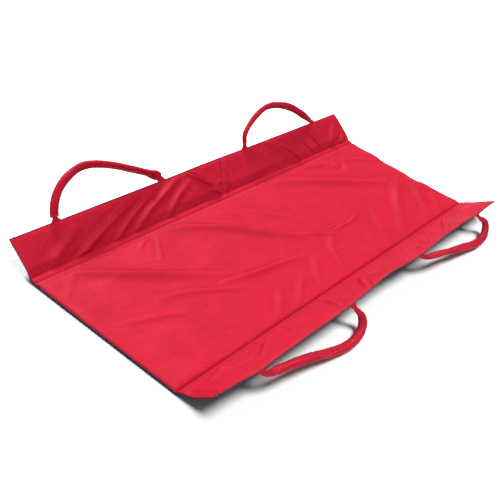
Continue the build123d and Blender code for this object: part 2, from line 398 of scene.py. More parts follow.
def colour(code):
    """Linear red, green, blue and alpha from an sRGB hex code."""
    values = [int(code[k:k + 2], 16) / 255 for k in (0, 2, 4)]
    linear = [v / 12.92 if v <= 0.04045 else ((v + 0.055) / 1.055) ** 2.4 for v in values]
    return (*linear, 1.0)


def add_node(tree, kind, links=(), settings=(), **inputs):
    """One node with its settings and socket values, and links as (from socket, to input)."""
    node = tree.nodes.new("ShaderNode" + kind)
    for key, value in dict(settings).items():
        setattr(node, key, value)
    for key, value in inputs.items():
        socket = int(key[1:]) if key[1:].isdigit() else key.replace("_", " ")
        node.inputs[socket].default_value = value
    for source, target in links:
        tree.links.new(source, node.inputs[target])
    return node


def woven(name, light, dark, roughness, sheen, yarn, weave_depth, crumple_depth, patch=0.1,
          specular=0.3):
    """Woven cloth on the piece's own UV map, which is in metres.

    Colour: two close shades mixed by broad soft noise and by the yarns. Bump: fine crumples
    under a plain weave, the product of two sines one yarn wide. Roughness wanders a little
    where the cloth has been handled."""
    material = bpy.data.materials.new(name)
    material.use_nodes = True
    tree = material.node_tree
    tree.nodes.clear()
    uv = add_node(tree, "UVMap", settings={"uv_map": "UVMap"})
    split = add_node(tree, "SeparateXYZ", [(uv.outputs[0], 0)])
    sines = []
    for axis in (0, 1):
        turns = add_node(tree, "Math", [(split.outputs[axis], 0)], {"operation": "MULTIPLY"},
                         _1=math.pi / yarn)
        sines.append(add_node(tree, "Math", [(turns.outputs[0], 0)], {"operation": "SINE"}))
    product = add_node(tree, "Math", [(sines[0].outputs[0], 0), (sines[1].outputs[0], 1)],
                       {"operation": "MULTIPLY"})
    weave = add_node(tree, "Math", [(product.outputs[0], 0)], {"operation": "MULTIPLY_ADD"},
                     _1=0.5, _2=0.5)
    patches = add_node(tree, "TexNoise", [(uv.outputs[0], "Vector")], Scale=7.0, Detail=3.0,
                       Roughness=0.55)
    fleck = add_node(tree, "TexNoise", [(uv.outputs[0], "Vector")], Scale=420.0, Detail=2.0)
    fold = add_node(tree, "TexNoise", [(uv.outputs[0], "Vector")], Scale=34.0, Detail=4.0,
                    Roughness=0.6, Distortion=0.8)
    soft = add_node(tree, "MapRange", [(patches.outputs[0], "Value")], {"clamp": True},
                    _1=0.35, _2=0.65, _3=0.0, _4=1.0)
    base = add_node(tree, "Mix", [(soft.outputs[0], 0)], {"data_type": "RGBA"},
                    _6=colour(light), _7=colour(dark))
    yarns = add_node(tree, "Math", [(weave.outputs[0], 0), (fleck.outputs[0], 1)],
                     {"operation": "MULTIPLY"})
    shade = add_node(tree, "MapRange", [(yarns.outputs[0], "Value")], {"clamp": True},
                     _1=0.0, _2=0.6, _3=1.0 - patch, _4=1.0 + patch * 0.5)
    tinted = add_node(tree, "VectorMath", [(base.outputs[2], 0)], {"operation": "SCALE"})
    tree.links.new(shade.outputs[0], tinted.inputs["Scale"])
    gloss = add_node(tree, "MapRange", [(patches.outputs[0], "Value")], {"clamp": True},
                     _1=0.3, _2=0.7, _3=roughness - 0.05, _4=roughness + 0.06)
    crumples = add_node(tree, "Bump", [(fold.outputs[0], "Height")], Strength=0.9,
                        Distance=crumple_depth)
    bump = add_node(tree, "Bump", [(weave.outputs[0], "Height"), (crumples.outputs[0], "Normal")],
                    Strength=0.6, Distance=weave_depth)
    shader = add_node(tree, "BsdfPrincipled",
                      [(tinted.outputs[0], "Base Color"), (gloss.outputs[0], "Roughness"),
                       (bump.outputs[0], "Normal")],
                      IOR=1.5, Metallic=0.0, Sheen_Weight=sheen, Sheen_Roughness=0.4)
    shader.inputs["Specular IOR Level"].default_value = specular
    shader.inputs["Sheen Tint"].default_value = colour(light)
    add_node(tree, "OutputMaterial", [(shader.outputs[0], "Surface")])
    return material


# Nylon taffeta, calendered so that it shines: smooth, bright red, with broad soft highlights.
# Its yarns are about 0.25 mm and drawn at 0.6 mm, so that they show close up.
RED_NYLON = woven("red_nylon_taffeta_calendered", "b0182e", "a6162c", roughness=0.55, sheen=0.0,
                  yarn=0.6 * MM, weave_depth=0.08 * MM, crumple_depth=0.15 * MM, specular=0.04)
# Nylon with a polyurethane coating: near black navy, waterproof, with a low even shine.
NAVY_NYLON = woven("navy_nylon_coated", "0c1030", "090c26", roughness=0.45, sheen=0.1,
                   yarn=0.8 * MM, weave_depth=0.1 * MM, crumple_depth=0.6 * MM, specular=0.2)
# Brushed polyester of the sleeves: a duller red than the sheet, with a coarser yarn.
SLEEVE_CLOTH = woven("red_polyester_brushed", "b4182f", "a4142b", roughness=0.6, sheen=0.05,
                     yarn=0.9 * MM, weave_depth=0.18 * MM, crumple_depth=0.7 * MM, patch=0.16,
                     specular=0.1)
# Grosgrain tape that binds the edges: matt, with close ribs; its deep red is the tape's red painted
# darker, as painted shade for the turned edge.
SHADED_EDGE_TAPE = woven("red_grosgrain_painted_shade", "6e0b1e", "610817", roughness=0.6, sheen=0.2,
                  yarn=1.0 * MM, weave_depth=0.2 * MM, crumple_depth=0.2 * MM)
# Closed-cell polyethylene foam: pale grey, matt, hidden inside.
FOAM = woven("polyethylene_foam_cut", "c9c8c0", "b7b6ae", roughness=0.85, sheen=0.1,
             yarn=2.4 * MM, weave_depth=0.3 * MM, crumple_depth=1.0 * MM)
# Polyester webbing: black ribbed tape, with ribs about 1.5 mm apart.
WEBBING = woven("polyester_webbing_woven", "1c1c20", "121215", roughness=0.7, sheen=0.3,
                yarn=1.5 * MM, weave_depth=0.4 * MM, crumple_depth=0.2 * MM)
# Bonded nylon sewing thread, dyed to match: twisted, slightly darker than the cloth.
THREAD = woven("nylon_thread_bonded", "b61d34", "9e152c", roughness=0.5, sheen=0.2,
               yarn=0.5 * MM, weave_depth=0.12 * MM, crumple_depth=0.05 * MM)

# ---------------------------------------------------------------------------
# Shape of the panel
# ---------------------------------------------------------------------------


def head_recess(y):
    """How far the head end's edge is drawn in: nothing at the corners, a root of a sine that is
    most past the middle, with shallow scallops some 105 mm long."""
    t = (y + HALF_WIDTH) / (2 * HALF_WIDTH)
    return (17 * MM * np.sin(math.pi * ease(t)) ** 1.3 * (0.75 + 0.5 * t)
            + 2.2 * MM * np.sin(2 * math.pi * (y / 0.105 + 0.2 * np.sin(y / 0.05)))
            * np.sin(math.pi * np.clip(t, 0, 1)))


def drawn_in(x, y):
    """x moved inwards near the head end by its recess."""
    return x - head_recess(y) * ease((x - HALF_LENGTH + 0.16) / 0.16)


def panel_top(x, y):
    """Height of the red top: the crown falls steeply into the seams and gently to the ends,
    with the folds, the gathers beside the seams and a low uneven surface over it."""
    to_far = HALF_WIDTH - y
    to_near = y + HALF_WIDTH
    to_foot = x + HALF_LENGTH
    to_head = HALF_LENGTH - x
    groove = 12.6 * MM
    far_gather = puckers(x - 0.5 * to_far, BAND_PHASES["far"])
    near_gather = puckers(x + 0.6 * to_near, 4.1)
    near_start = (-1 + 1.8 * near_gather) * MM
    far_rise = 0.5 + 0.5 * ease((to_far + 2 * MM) / (26 * MM))
    sides = far_rise * ease((to_near - near_start) / ((9 + 3 * near_gather) * MM)) ** 0.8
    foot_fall = ease((to_foot + 3 * MM) / (9 * MM)) * 0.5 + 0.5
    head_fall = ease(to_head / (55 * MM)) * 0.8 + 0.2
    puff = (CROWN_TOP + 1.5 * MM - groove) * sides * foot_fall * head_fall
    inside = ease(to_far / (40 * MM)) * ease(to_near / (18 * MM)) * ease(to_foot / (30 * MM))
    gathers = (2.0 * MM * near_gather * bell(to_near - 14 * MM, 11 * MM)
               + 0.9 * MM * far_gather * bell(to_far - 22 * MM, 14 * MM))
    uneven = (1.0 * MM * ripple(x, y, 0.42, 3) + 0.3 * MM * ripple(x, y * 1.4, 0.13, 8)
              + 0.9 * MM * crumple(x, y, 0.21, 11) + 0.4 * MM * crumple(x, y, 0.09, 12)
              + 0.8 * MM * streaks(x, y, -0.55, 0.045, 13))
    hem = (-0.35 * MM * bell(to_foot - 9 * MM, 2.0 * MM)
           - 0.5 * MM * bell(to_head - 9 * MM, 2.4 * MM))
    scallop = 2.6 * MM * bell(to_head, 60 * MM) * np.sin(2 * math.pi * y / 0.14 + 0.6)
    folds = PANEL_FOLD_STRENGTH * all_folds(x, y, PANEL_FOLDS)
    return (groove + puff + (folds + uneven) * inside + gathers * foot_fall
            + hem + np.maximum(scallop, -1.5 * MM) * inside)


def fine_grid(low, high, spacing, step):
    """Even numbers from low to high, about `spacing` apart, as a multiple of `step` gaps."""
    return np.linspace(low, high, step * max(1, round((high - low) / spacing / step)) + 1)


def make_centre_cover():
    """Red top: fine grid over the whole panel, closed by a flat inner face."""
    step = 4
    x, y = np.meshgrid(fine_grid(-HALF_LENGTH, HALF_LENGTH, 4.2 * MM, step),
                       fine_grid(-HALF_WIDTH - 0.5 * MM, HALF_WIDTH + 0.5 * MM, 4.0 * MM, step),
                       indexing="ij")
    top = np.stack([drawn_in(x, y), y, panel_top(x, y)], -1)
    low = np.stack([drawn_in(x, y), y, np.full(x.shape, EDGE_HEIGHT - FABRIC)], -1)[::step, ::step]
    uv = np.stack([x, y], -1)
    piece = slab("centre_cover", top, low, uv, uv[::step, ::step], step, RED_NYLON)
    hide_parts("centre_cover_foot", "centre_cover_head")
    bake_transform(piece)


def make_centre_foam():
    """Foam sheet, a plain slab just inside the covers, with closer rows across the fold line."""
    inset = 3 * MM
    spacing = 30 * MM
    rows = np.r_[fine_grid(-HALF_LENGTH + inset, HALF_LENGTH - inset, spacing, 1),
                 np.linspace(-spacing, spacing, 13)]
    x, y = np.meshgrid(np.unique(rows),
                       fine_grid(-HALF_WIDTH + inset, HALF_WIDTH - inset, spacing, 1),
                       indexing="ij")
    uv = np.stack([x, y], -1)
    faces = [np.stack([drawn_in(x, y), y, np.full(x.shape, z)], -1)
             for z in (EDGE_HEIGHT - FABRIC - 0.3 * MM, 4.0 * MM)]
    piece = slab("centre_padding", faces[0], faces[1], uv, uv, 1, FOAM)
    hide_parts("centre_padding_foot", "centre_padding_head")
    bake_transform(piece)


def make_centre_base():
    """Navy underside: a thin tray, flat where it rests, turned up all round to the red top.
    The foot of its wall is set in by some 2 mm, so that the wall leans out to its rim."""
    wall = 1.6 * MM
    rim = EDGE_HEIGHT - 1.2 * MM
    half_width = HALF_WIDTH + 1.2 * MM

    def rulings(half, spacing):
        """Rows that crowd together at the rim, so that the wall stands straight."""
        edge = np.array([0.0, wall, wall + 0.5 * MM, 12 * MM])
        return np.r_[-half + edge, fine_grid(-half + 24 * MM, half - 24 * MM, spacing, 1),
                     (half - edge)[::-1]]

    xs = np.unique(np.r_[rulings(HALF_LENGTH, 14 * MM), np.linspace(-0.008, 0.008, 9)])
    ys = rulings(half_width, 14 * MM)
    x, y = np.meshgrid(xs, ys, indexing="ij")
    to_rim = np.minimum(HALF_LENGTH - np.abs(x), half_width - np.abs(y))
    raised = to_rim < wall + 0.1 * MM
    inner = np.where(raised, rim + 0.3 * MM * np.sin(y / 0.03), 1.5 * MM)
    outer_x = x - np.sign(x) * np.where(HALF_LENGTH - np.abs(x) < 1 * MM, 2.2 * MM, 0.0)
    outer_y = y - np.sign(y) * np.where(half_width - np.abs(y) < 1 * MM, 1.6 * MM, 0.0)
    top = np.stack([drawn_in(x, y), y, inner], -1)
    under = np.stack([drawn_in(outer_x, y), outer_y, np.zeros(x.shape)], -1)
    uv = np.stack([x, y], -1)
    piece = slab("centre_base", top, under, uv, uv, 1, NAVY_NYLON)
    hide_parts("centre_base_foot", "centre_base_head")
    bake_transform(piece)


# ---------------------------------------------------------------------------
# Shape of the wings
# ---------------------------------------------------------------------------


def wing_axes(side):
    """Directions of a raised wing: out from the seam, and out of its red face."""
    s = SIDES[side]
    out = np.array([0.0, s * math.cos(WING_ANGLE), math.sin(WING_ANGLE)])
    normal = np.array([0.0, -s * math.sin(WING_ANGLE), math.cos(WING_ANGLE)])
    return out, normal


def edge_lift(side, x):
    """How far the outer edge stands off the wing's plane, read from its line."""
    line = soft_route(EDGE_LINES[side], 8) * MM
    return np.interp(x, line[:, 0], line[:, 1])


def wing_sway(side, x, v):
    """Height of a wing's middle surface over its plane: the edge's lift grows outwards from
    the seam. The far wing's seam roll lies flatter than the wing, which rises steeply behind
    it, and the near wing's foot end is bent down between its corners."""
    t = v / WING_WIDTH
    sway = edge_lift(side, x) * np.clip(t, 0, 1.2) ** 1.25
    if side == "far":
        low = 24 * MM
        bend = np.where(v < low, ease(v / low), 1 - ease((v - low) / (34 * MM)))
        sway -= 7 * MM * bend
    else:
        between = ease((t - 0.08) / 0.3) * ease((1.02 - t) / 0.22)
        reach = 24 * MM
        sway -= 13 * MM * np.clip((reach - HALF_LENGTH - x) / reach, 0, 1) * between
    return sway


def seam_roll(v, width, seam):
    """Rounded roll of the seam's allowance under a wing's cover, a root of a half sine, with
    a gathered groove behind it, a bell curve that deepens with the gathers."""
    roll = np.sin(math.pi * np.clip((v - 1 * MM) / (width - 2 * MM), 0, 1)) ** 0.7
    return 0.7 * MM * roll - 2.9 * MM * (0.65 + 0.5 * seam) * bell(v - width - 2 * MM, 2.3 * MM)


def wing_folds(side, x, v):
    """Folds and small unevenness of a wing's red face, which fade at the seam and the edge,
    then the gathers, the far seam's roll and a hem that its stitches draw in. Hollows level
    off as a hyperbolic tangent at 2.2 mm, so that they stay clear of the foam."""
    roll_width = ROLL_WIDTHS[side]
    fade = ease((v - roll_width) / (10 * MM)) * ease((WING_WIDTH - v) / (14 * MM))
    seam = puckers(x, 2.2 if side == "far" else BAND_PHASES["near"])
    gathers = 1.6 * MM * seam * bell(v - roll_width - 7 * MM, 11 * MM)
    hem = -0.6 * MM * bell(WING_WIDTH - HEM_INSET - v, 2.4 * MM)
    creased = WING_CREASING[side]
    uneven = (0.6 * MM * ripple(x, v * 1.5, 0.16, 21)
              + creased * (1.6 * MM * crumple(x, v, 0.10, 5) + 0.8 * MM * crumple(x, v, 0.05, 6))
              + 0.6 * MM * streaks(x, v, 0.5, 0.03, 14))
    roll = seam_roll(v, roll_width, seam) if side == "far" else 0.0
    surface = WING_FOLD_STRENGTHS[side] * all_folds(x, v, WING_FOLDS[side])
    deepest = 2.2 * MM
    surface = np.where(surface < 0, deepest * np.tanh(surface / deepest), surface)
    return (surface + uneven) * fade + gathers + hem + roll


def wing_half_thickness(v):
    """Half the padded thickness: full over the middle, pinched at the seam and at the edge."""
    fullness = ease(v / (16 * MM)) * ease((WING_WIDTH - 2 * MM - v) / (14 * MM))
    return 3.2 * MM * (0.35 + 0.65 * fullness)


def on_wing(side, x, v, height):
    """Points in the frame from distances along and out from a seam, and height off the wing."""
    out, normal = wing_axes(side)
    origin = np.array([0.0, SIDES[side] * HALF_WIDTH, EDGE_HEIGHT]) - normal * WING_THICKNESS / 2
    x, v, height = (np.asarray(a, float)[..., None] for a in (x, v, height))
    return origin + x * np.array([1.0, 0.0, 0.0]) + v * out + height * normal


def wing_grid(end, spacing, step, inset=0.0):
    """Grid over one half of a wing, along x and out from the seam."""
    low, high = (-HALF_LENGTH + inset, 0.0) if end == "foot" else (0.0, HALF_LENGTH - inset)
    return np.meshgrid(fine_grid(low, high, spacing, step),
                       fine_grid(0.2 * MM + inset, SWING_LINE - inset, spacing, step),
                       indexing="ij")


def wing_layer(name, side, end, upper, lower, spacing, step, material, inset=0.0):
    """Closed layer of a wing half between two heights, given as functions of x and v."""
    x, v = wing_grid(end, spacing, step, inset)
    uv = np.stack([x, v], -1)
    top = on_wing(side, x, v, wing_sway(side, x, v) + upper(x, v))
    low = on_wing(side, x, v, wing_sway(side, x, v) + lower(x, v))[::step, ::step]
    return slab(name, top, low, uv, uv[::step, ::step], step, material, flip=side == "near")


def hang_on_seam(piece):
    """Bakes the piece's placement into its points; nothing ties it to the panel or the wing."""
    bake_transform(piece)


def make_wing(side, end):
    """Cover, foam, cross straps, backing and bound edge of one wing half."""
    def padded_top(x, v):
        return wing_half_thickness(v) + wing_folds(side, x, v)

    def backing_low(x, v):
        return -wing_half_thickness(v) - (0.7 + 0.5 * ripple(x, v, 0.11, 31)) * MM * ease(v / 0.02)

    cover = wing_layer(f"{side}_wing_cover_{end}", side, end, padded_top,
                       lambda x, v: -0.05 * wing_half_thickness(v), 2.5 * MM, 2, RED_NYLON)
    foam = wing_layer(f"{side}_wing_padding_{end}", side, end,
                      lambda x, v: -0.08 * wing_half_thickness(v),
                      lambda x, v: -0.45 * wing_half_thickness(v), 12 * MM, 1, FOAM, 2 * MM)
    backing = wing_layer(f"{side}_wing_backing_{end}", side, end,
                         lambda x, v: -0.63 * wing_half_thickness(v), backing_low, 6 * MM, 1,
                         NAVY_NYLON)
    for piece, node in ((cover, "cover"), (foam, "padding"), (backing, "backing")):
        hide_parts(f"{side}_wing_{node}_{end}")
        hang_on_seam(piece)
    make_wing_straps(side, end)
    make_binding(side, end)


def make_wing_straps(side, end):
    """Two flat tapes under the foam, from the seam to the feet of the handle, as one piece."""
    rings = []
    for foot in (HANDLE_INSET, HANDLE_INSET + HANDLE_SPAN):
        v = np.linspace(2 * MM, SWING_LINE - 4 * MM, 24)
        x = np.full(v.shape, ENDS[end] * foot)
        corners = [(-20, -0.60), (20, -0.60), (20, -0.47), (-20, -0.47)]
        rings.append(np.stack([
            on_wing(side, x + dx * MM, v,
                    wing_sway(side, x + dx * MM, v) + share * wing_half_thickness(v))
            for dx, share in corners], axis=1))
    rings = np.array(rings)
    # The weave runs the other way on a tape, so its UVs are exchanged.
    uv = tube_uv(rings.shape[:3], np.linspace(0, SWING_LINE, rings.shape[1]),
                 np.array([0.0, 0.04, 0.041, 0.001]))[..., ::-1]
    piece = tubes(f"{side}_wing_straps_{end}", rings, uv, WEBBING, flip=side == "far")
    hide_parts(f"{side}_wing_straps_{end}")
    hang_on_seam(piece)


def make_binding(side, end):
    """Bound outer edge: a slightly flattened roll that follows the edge's sway, where the red cloth
    of the face is turned over the navy cloth of the back. The upper part of the roll takes the edge
    tape, painted dark red as shade on the turned edge."""
    count = 320
    x = np.linspace(-HALF_LENGTH if end == "foot" else 0.0, 0.0 if end == "foot" else HALF_LENGTH,
                    count)
    angle = np.linspace(0, 2 * math.pi, 14, endpoint=False)
    swell = 1 + 0.10 * puckers(x, 0.7)[:, None]
    out = 3.0 * MM * np.cos(angle)[None] * swell
    up = 2.5 * MM * np.sin(angle)[None] * swell
    v = SWING_LINE + out
    along = np.broadcast_to(x[:, None], v.shape)
    height = wing_sway(side, along, np.full(v.shape, SWING_LINE)) + up - 0.7 * MM
    rings = on_wing(side, along, v, height)
    uv = np.stack([along, np.broadcast_to(angle * 3 * MM, v.shape)], -1)
    piece = tubes(f"{side}_wing_edge_binding_{end}", rings, uv, NAVY_NYLON, flip=side == "near")
    # The upper faces take the edge tape, whose dark red is painted shade of the turned edge over
    # the tape's own red.
    piece.data.materials.append(SHADED_EDGE_TAPE)
    upper = np.sin(angle + math.pi / len(angle)) > -0.5
    piece.data.polygons.foreach_set(
        "material_index", np.r_[np.tile(upper, count - 1), [0, 0]].astype(np.int32))
    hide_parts(f"{side}_wing_edge_binding_{end}")
    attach(piece, f"{side}_wing_{end}")


# ---------------------------------------------------------------------------
# Seam bands and stitching
# ---------------------------------------------------------------------------


def band_section(count=9):
    """Outline of a felled band, going round: an arched top, then a flat underside."""
    t = np.linspace(0, 1, count)
    arch = 1.3 * MM + 1.3 * MM * np.sin(math.pi * t) ** 0.5
    across = np.r_[t, t[::-1]] * BAND_WIDTH
    height = np.r_[arch, np.zeros(count)]
    return across, height


def make_far_band():
    """Far seam's allowance, felled towards the panel, gathered a little by its stitches."""
    x = fine_grid(-HALF_LENGTH, HALF_LENGTH, 3.6 * MM, 1)
    across, height = band_section()
    gather = puckers(x, BAND_PHASES["far"])[:, None]
    y = HALF_WIDTH - BAND_OFFSET - across[None] + 0.5 * MM * gather
    along = np.broadcast_to(x[:, None], y.shape)
    above = height[None] > 1e-6
    rise = panel_top(along, y) + 0.35 * height[None]
    z = np.where(above, rise, EDGE_HEIGHT - 1.5 * MM)
    uv = np.stack([along, np.broadcast_to(across, y.shape)], -1)
    piece = tubes("far_seam_band", np.stack([along, y, z], -1), uv, RED_NYLON)
    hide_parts("far_seam_band_foot", "far_seam_band_head")
    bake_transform(piece)


def make_near_band(end):
    """Near seam's allowance, felled towards the wing and lying on it."""
    x = ENDS[end] * fine_grid(0.3 * MM, HALF_LENGTH, 3.6 * MM, 1)
    x.sort()
    across, height = band_section()
    gather = puckers(x, BAND_PHASES["near"])[:, None]
    v = 2.5 * MM + across[None] * 1.05 + 0.3 * MM * gather
    along = np.broadcast_to(x[:, None], v.shape)
    lift = wing_sway("near", along, v) + 1.2 * MM + height[None] * (1.35 + 0.3 * gather)
    rings = on_wing("near", along, v, lift)
    uv = np.stack([along, np.broadcast_to(across, v.shape)], -1)
    piece = tubes(f"near_seam_band_{end}", rings, uv, RED_NYLON)
    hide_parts(f"near_seam_band_{end}")
    hang_on_seam(piece)


def stitch_row(name, centres, along, normal, body, blend_side=None):
    """Row of lockstitches: short capsules of thread, each dipping at both ends into the cloth."""
    length = STITCH_LENGTH / 2
    t = np.array([-1.0, -0.55, 0.0, 0.55, 1.0])
    radius = THREAD_RADIUS * np.array([0.45, 0.9, 1.0, 0.9, 0.45])
    dip = -0.35 * MM * t ** 4
    angle = np.linspace(0, 2 * math.pi, 6, endpoint=False)
    across = np.cross(normal, along)
    middle = (centres[:, None] + along[:, None] * (t * length)[None, :, None]
              + normal[:, None] * (dip + 0.25 * MM)[None, :, None])
    rings = (middle[:, :, None]
             + across[:, None, None] * (radius[:, None] * np.cos(angle))[None, :, :, None]
             + normal[:, None, None] * (radius[:, None] * np.sin(angle))[None, :, :, None])
    uv = tube_uv(rings.shape[:3], np.arange(len(t)) * STITCH_LENGTH / (len(t) - 1),
                 angle * THREAD_RADIUS)
    piece = tubes(name, rings, uv, THREAD)
    if blend_side:
        hang_on_seam(piece)
    else:
        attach(piece, body)
    return piece


def unit(vectors):
    """Vectors scaled to length 1."""
    return vectors / np.linalg.norm(vectors, axis=-1, keepdims=True)


def stitches_along(name, point, body, low, high, blend_side=None):
    """Stitches along a line on a surface. `point` gives the surface's points from x and a
    small step across, from which the directions come."""
    x = np.arange(low + STITCH_PITCH, high - STITCH_PITCH / 2, STITCH_PITCH)
    step = 0.4 * MM
    along = unit(point(x + step, 0 * x) - point(x - step, 0 * x))
    across = unit(point(x, 0 * x + step) - point(x, 0 * x - step))
    normal = unit(np.cross(along, across))
    normal *= np.sign(normal[:, 2:])
    stitch_row(name, point(x, 0 * x), along, normal, body, blend_side)


def make_stitching(end):
    """Two rows on each seam band and one inside each wing's bound edge, for one half."""
    low, high = (-HALF_LENGTH, 0.0) if end == "foot" else (0.0, HALF_LENGTH)
    for number, (far_row, near_row) in enumerate(((7.0 * MM, 4.2 * MM), (14.0 * MM, 12.0 * MM)), 1):
        def on_far_band(x, step, distance=far_row):
            y = HALF_WIDTH - distance + step + 0.5 * MM * puckers(x, BAND_PHASES["far"])
            return np.stack([x, y, panel_top(x, y) + 0.7 * MM], -1)
        stitches_along(f"far_seam_stitches_{number}_{end}", on_far_band, f"centre_{end}", low, high)

        def on_near_band(x, step, distance=near_row):
            v = distance + 0.6 * MM + step
            gather = puckers(x, BAND_PHASES["near"])
            lift = wing_sway("near", x, v) + 1.2 * MM + 2.35 * MM * (1.35 + 0.3 * gather)
            return on_wing("near", x, v, lift)
        stitches_along(f"near_seam_stitches_{number}_{end}", on_near_band, None, low, high,
                       "near")
    for side in SIDES:
        def on_hem(x, step, side=side):
            v = WING_WIDTH - HEM_INSET + step
            lift = wing_sway(side, x, v) + wing_half_thickness(v) + wing_folds(side, x, v)
            return on_wing(side, x, v, lift)
        stitches_along(f"{side}_edge_stitches_{end}", on_hem, f"{side}_wing_{end}", low, high)


# ---------------------------------------------------------------------------
# Handles
# ---------------------------------------------------------------------------


def handle_axes(side):
    """Directions of a loop at rest: out from the wing's edge, and square to the loop's plane."""
    s, angle = SIDES[side], HANDLE_ANGLES[side]
    return (np.array([0.0, s * math.cos(angle), math.sin(angle)]),
            np.array([0.0, -s * math.sin(angle), math.cos(angle)]))


def handle_place(side, end, s, h, n, sewn=0.0):
    """Points in the frame from distances along the edge, out in the loop's plane and square
    to it. Parts that are sewn to the wing follow the lift of its edge, less and less out to
    the distance `sewn`."""
    out, square = handle_axes(side)
    first = ENDS[end] * HANDLE_INSET if end == "head" else -HANDLE_INSET - HANDLE_SPAN
    x = first + s
    places = on_wing(side, x, np.full(np.shape(x), SWING_LINE), 0.0 * x)
    places = places + h[..., None] * out + n[..., None] * square
    if sewn:
        lift = edge_lift(side, x) * (1 - ease(h / sewn))
        places = places + lift[..., None] * wing_axes(side)[1]
    return places


def handle_curve(side, end):
    """Centre line of a loop in its own plane, the distances along it and its directions across."""
    line, along = even_route(np.array(HANDLE_LINES[side, end]) * MM, HANDLE_POINTS)
    run = unit(np.gradient(line, axis=0))
    return line, along, np.stack([-run[:, 1], run[:, 0]], -1)


def sleeve_section(side, end, t, total, mouth):
    """Half width and half thickness of the sleeve at distances t along it, and its turn. At
    the mouths it is thinner, unturned and narrower or wider by its pinch, a bell curve."""
    near_mouth = np.minimum(t - mouth, total - mouth - t)
    turns = HANDLE_TWISTS[side, end]
    turned = np.interp(t / total, np.linspace(0, 1, len(turns)), turns)
    turned = turned * ease((near_mouth - 12 * MM) / (45 * MM))
    pinch, flat = HANDLE_PINCHES[side, end]
    wide = (16.0 - pinch * bell(near_mouth, 50 * MM)) * MM
    thick = 10.5 * MM * (flat + (1 - flat) * ease(near_mouth / (55 * MM)))
    return wide, thick, turned


def turned_oval(wide, thick, angle, turned):
    """Outline of a full oval, near a rounded oblong, turned about the line it is swept on."""
    a = wide * np.sign(np.cos(angle)) * np.abs(np.cos(angle)) ** 0.82
    b = thick * np.sign(np.sin(angle)) * np.abs(np.sin(angle)) ** 0.82
    return np.stack([a * np.cos(turned) - b * np.sin(turned),
                     a * np.sin(turned) + b * np.cos(turned)], -1)


def make_handle(side, end, seed):
    """One loop: padded sleeve, its filling, the webbing inside and the two flat tabs."""
    line, along, across = handle_curve(side, end)
    total = along[-1]
    body = f"{side}_handle_{end}"

    def swept(keep, profile):
        """Rings of a profile (n, m, 2) carried along part of the loop's centre line."""
        s = line[keep, 0, None] + across[keep, 0, None] * profile[..., 0]
        h = line[keep, 1, None] + across[keep, 1, None] * profile[..., 0]
        return handle_place(side, end, s, h, profile[..., 1])

    # The sleeve: a flattened round section that pulls in at its mouths, with a sewn ridge
    # along one side, slow swells, and small creases where it bends.
    mouth = SLEEVE_MOUTHS[side]
    keep = (along > mouth) & (along < total - mouth)
    t = along[keep]
    wide, thick, turned = (part[:, None] for part in sleeve_section(side, end, t, total, mouth))
    angle = np.linspace(0, 2 * math.pi, 44, endpoint=False)[None]
    swell = 1 + 0.05 * ripple(t[:, None], 0.02 * np.sin(angle), 0.10, seed)
    crease = ripple(t[:, None] * 1.6, 0.05 * np.cos(angle), 0.034, seed + 9)
    crease = -0.6 * MM * np.abs(crease) ** 2
    ridge = np.angle(np.exp(1j * (angle - 0.5 - 1.2 * turned)))
    seam = 1.4 * MM * bell(ridge, 0.11) - 1.2 * MM * bell(ridge - 0.26, 0.12)
    profile = turned_oval(wide * swell + crease + seam, thick * swell + crease + seam, angle,
                          turned)
    rings = swept(keep, profile)
    # Each mouth turns in on itself, so that its dark inside shows round the tab.
    inward = [swept(keep, profile * share)[[0, -1]] for share in (0.86, 0.62)]
    depth = int(round(9 * MM / (total / (HANDLE_POINTS - 1))))
    shift = rings.mean(axis=1)
    deep_first, deep_last = shift[depth] - shift[0], shift[-1 - depth] - shift[-1]
    rings = np.concatenate([
        inward[1][:1] + deep_first, inward[0][:1], rings, inward[0][1:], inward[1][1:] + deep_last])
    u = np.r_[t[0], t[0], t, t[-1], t[-1]][:, None] + 0 * angle
    uv = np.stack([u, np.broadcast_to(angle * 14 * MM, u.shape)], -1)
    flip = side == "far"
    sleeve = tubes(f"{side}_handle_sleeve_{end}", rings, uv, SLEEVE_CLOTH, 75.0, flip)
    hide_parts(f"{side}_handle_sleeve_{end}")
    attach(sleeve, body)

    # The filling and the load-bearing webbing, inside it.
    inner = (along > mouth + 20 * MM) & (along < total - mouth - 20 * MM)
    angle = np.linspace(0, 2 * math.pi, 16, endpoint=False)[None]
    wide, thick, turned = (part[:, None]
                           for part in sleeve_section(side, end, along[inner], total, mouth))
    core_profile = turned_oval(wide - 4 * MM, thick - 3 * MM, angle, turned)
    u = along[inner][:, None] + 0 * angle
    core = tubes(f"{side}_handle_padding_{end}", swept(inner, core_profile),
                np.stack([u, angle * 12 * MM + 0 * u], -1), FOAM, flip=flip)
    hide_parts(f"{side}_handle_padding_{end}")
    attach(core, body)
    web = (along > 12 * MM) & (along < total - 12 * MM)
    corners = np.array([(8.0, 0.75), (-8.0, 0.75), (-8.0, -0.75), (8.0, -0.75)]) * MM
    web_profile = np.broadcast_to(corners, (web.sum(), 4, 2))
    u = np.broadcast_to(along[web][:, None], (web.sum(), 4))
    strap = tubes(f"{side}_handle_webbing_{end}", swept(web, web_profile),
                 np.stack([u, np.broadcast_to(corners[:, 0], u.shape)], -1), WEBBING, flip=flip)
    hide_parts(f"{side}_handle_webbing_{end}")
    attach(strap, body)
    make_tabs(side, end, flip)


